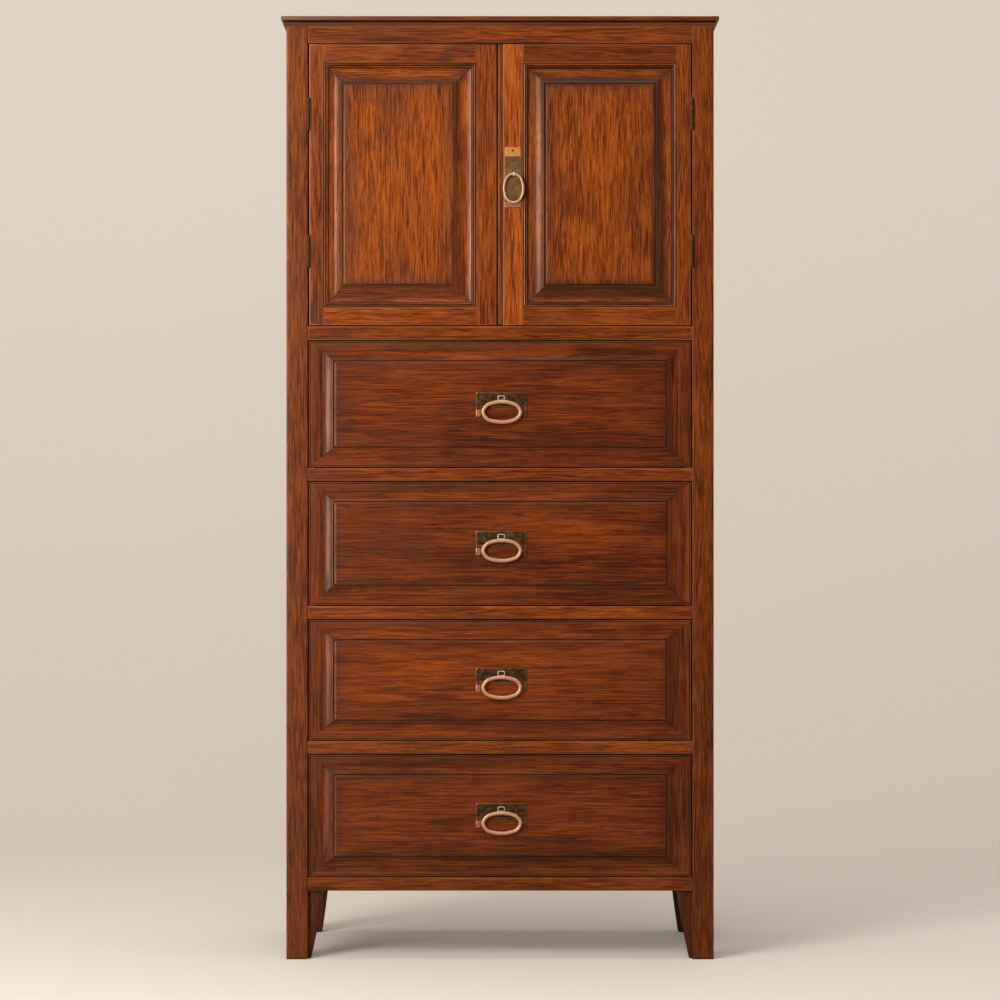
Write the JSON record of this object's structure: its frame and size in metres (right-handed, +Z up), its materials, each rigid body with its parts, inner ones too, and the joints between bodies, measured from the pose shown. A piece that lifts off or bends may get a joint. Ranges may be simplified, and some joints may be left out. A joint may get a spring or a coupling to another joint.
{
  "type": "tallboy",
  "caption": "Tall stained-wood cabinet: panelled cupboard doors over a stack of full-width drawers with raised fields, bronze ring pulls, butt hinges and shaped legs.",
  "frame": {"origin": "on the floor, under the middle of the whole object", "axes": "+Z is up, +X is to the right seen from the front, and the doors and drawers face -Y"},
  "size_m": [0.819, 0.4542, 1.763],
  "materials": {
    "frame_wood": "satin red-brown stain",
    "panel_wood": "satin red-brown stain",
    "inner_wood": "bare planed wood",
    "dark_bronze": "dark patina",
    "ring_brass": "worn copper tone",
    "hinge_brass": "tarnished"
  },
  "bodies": {
    "carcass": {"top_board": "frame_wood", "front_left_leg": "frame_wood", "front_right_leg": "frame_wood", "rear_left_leg": "frame_wood", "rear_right_leg": "frame_wood", "top_rail": "frame_wood", "cupboard_floor": "frame_wood", "drawer_rail_1": "frame_wood", "drawer_rail_2": "frame_wood", "drawer_rail_3": "frame_wood", "bottom_rail": "frame_wood", "left_side_panel": "panel_wood", "right_side_panel": "panel_wood", "back_panel": "inner_wood", "dust_board_1": "inner_wood", "dust_board_2": "inner_wood", "dust_board_3": "inner_wood", "base_board": "inner_wood", "cupboard_shelf": "inner_wood", "left_upper_hinge_frame_leaf": "hinge_brass", "left_lower_hinge_frame_leaf": "hinge_brass", "right_upper_hinge_frame_leaf": "hinge_brass", "right_lower_hinge_frame_leaf": "hinge_brass"},
    "left_door": {"left_door_hinge_stile": "frame_wood", "left_door_meeting_stile": "frame_wood", "left_door_top_rail": "frame_wood", "left_door_bottom_rail": "frame_wood", "left_door_panel": "panel_wood", "left_upper_hinge_door_leaf": "hinge_brass", "left_lower_hinge_door_leaf": "hinge_brass"},
    "right_door": {"right_door_hinge_stile": "frame_wood", "right_door_meeting_stile": "frame_wood", "right_door_top_rail": "frame_wood", "right_door_bottom_rail": "frame_wood", "right_door_panel": "panel_wood", "right_upper_hinge_door_leaf": "hinge_brass", "right_lower_hinge_door_leaf": "hinge_brass", "meeting_bead": "frame_wood", "door_pull_plate": "dark_bronze"},
    "door_ring": {"door_pull_ring": "ring_brass"},
    "drawer_1": {"drawer_1_front": "panel_wood", "drawer_1_box": "inner_wood", "drawer_1_bottom": "inner_wood", "drawer_1_pull_plate": "dark_bronze"},
    "drawer_1_ring": {"drawer_1_pull_ring": "ring_brass"},
    "drawer_2": {"drawer_2_front": "panel_wood", "drawer_2_box": "inner_wood", "drawer_2_bottom": "inner_wood", "drawer_2_pull_plate": "dark_bronze"},
    "drawer_2_ring": {"drawer_2_pull_ring": "ring_brass"},
    "drawer_3": {"drawer_3_front": "panel_wood", "drawer_3_box": "inner_wood", "drawer_3_bottom": "inner_wood", "drawer_3_pull_plate": "dark_bronze"},
    "drawer_3_ring": {"drawer_3_pull_ring": "ring_brass"},
    "drawer_4": {"drawer_4_front": "panel_wood", "drawer_4_box": "inner_wood", "drawer_4_bottom": "inner_wood", "drawer_4_pull_plate": "dark_bronze"},
    "drawer_4_ring": {"drawer_4_pull_ring": "ring_brass"}
  },
  "joints": [
    {"name": "left_door_swing", "type": "hinge", "parent": "carcass", "child": "left_door", "pos_m": [-0.3588, -0.21675, 1.45], "axis": [0, 0, -1], "range_deg": [0, 110]},
    {"name": "right_door_swing", "type": "hinge", "parent": "carcass", "child": "right_door", "pos_m": [0.3588, -0.21675, 1.45], "axis": [0, 0, 1], "range_deg": [0, 110]},
    {"name": "door_ring_swing", "type": "hinge", "parent": "right_door", "child": "door_ring", "pos_m": [0.02405, -0.21835, 1.47025], "axis": [-1, 0, 0], "range_deg": [0, 100]},
    {"name": "drawer_1_slide", "type": "slide", "parent": "carcass", "child": "drawer_1", "axis": [0, -1, 0], "range_m": [0, 0.3]},
    {"name": "drawer_1_ring_swing", "type": "hinge", "parent": "drawer_1", "child": "drawer_1_ring", "pos_m": [0, -0.22405, 1.0449], "axis": [-1, 0, 0], "range_deg": [0, 100]},
    {"name": "drawer_2_slide", "type": "slide", "parent": "carcass", "child": "drawer_2", "axis": [0, -1, 0], "range_m": [0, 0.3]},
    {"name": "drawer_2_ring_swing", "type": "hinge", "parent": "drawer_2", "child": "drawer_2_ring", "pos_m": [0, -0.22405, 0.7839], "axis": [-1, 0, 0], "range_deg": [0, 100]},
    {"name": "drawer_3_slide", "type": "slide", "parent": "carcass", "child": "drawer_3", "axis": [0, -1, 0], "range_m": [0, 0.3]},
    {"name": "drawer_3_ring_swing", "type": "hinge", "parent": "drawer_3", "child": "drawer_3_ring", "pos_m": [0, -0.22405, 0.5284], "axis": [-1, 0, 0], "range_deg": [0, 100]},
    {"name": "drawer_4_slide", "type": "slide", "parent": "carcass", "child": "drawer_4", "axis": [0, -1, 0], "range_m": [0, 0.3]},
    {"name": "drawer_4_ring_swing", "type": "hinge", "parent": "drawer_4", "child": "drawer_4_ring", "pos_m": [0, -0.22405, 0.2744], "axis": [-1, 0, 0], "range_deg": [0, 100]}
  ]
}
